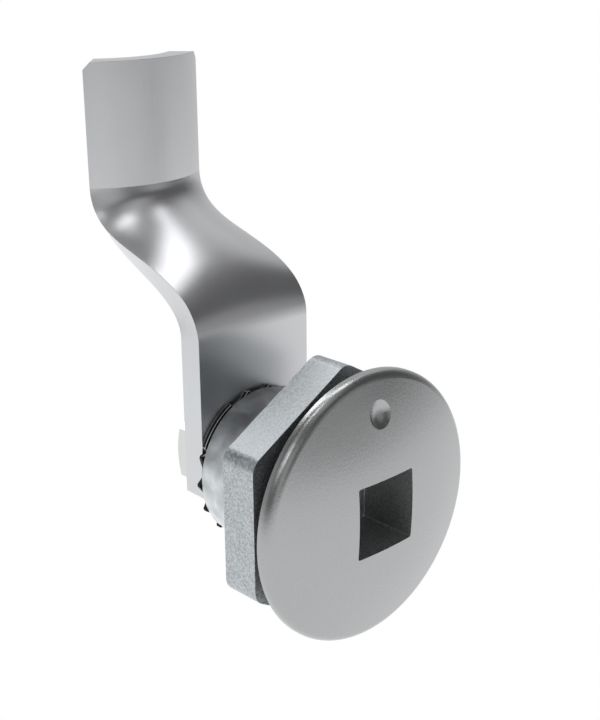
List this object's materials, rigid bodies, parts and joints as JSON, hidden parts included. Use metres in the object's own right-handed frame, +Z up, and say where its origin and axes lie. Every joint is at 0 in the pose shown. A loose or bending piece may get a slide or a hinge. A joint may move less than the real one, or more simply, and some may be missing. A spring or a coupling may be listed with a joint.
{
  "type": "quarter-turn cam latch",
  "caption": "Quarter-turn cam latch with a domed disc head, square key socket, flanged barrel with a hex nut, and a cranked, arched cam.",
  "frame": {"origin": "on the turning axis, in the plane where the nut's front face meets the panel seal, which is where the panel sits", "axes": "+Y along the turning axis from the head towards the cam, +Z up, the way the cam points at rest, +X to the right seen from the head's side"},
  "size_m": [0.0298, 0.0409, 0.0586],
  "materials": {
    "cast_satin_steel": "fine cast and blasted stainless steel",
    "barrel_steel": "smooth satin stainless steel",
    "seal_rubber": "matt black rubber",
    "nut_steel": "speckled satin steel",
    "washer_steel": "blackened spring steel",
    "sheet_steel": "smooth stainless sheet, faintly brushed",
    "bolt_steel": "bright satin steel"
  },
  "bodies": {
    "housing": {"barrel_housing": "barrel_steel", "panel_seal": "seal_rubber", "mounting_nut": "nut_steel"},
    "spindle": {"head_spindle": "cast_satin_steel", "spindle_seal_ring": "seal_rubber", "toothed_washer": "washer_steel", "cam": "sheet_steel", "lock_washer": "washer_steel", "cam_bolt": "bolt_steel"}
  },
  "joints": [
    {"name": "cam_turn", "type": "hinge", "parent": "housing", "child": "spindle", "pos_m": [0, 0, 0], "axis": [0, 1, 0], "range_deg": [0, 90]}
  ]
}
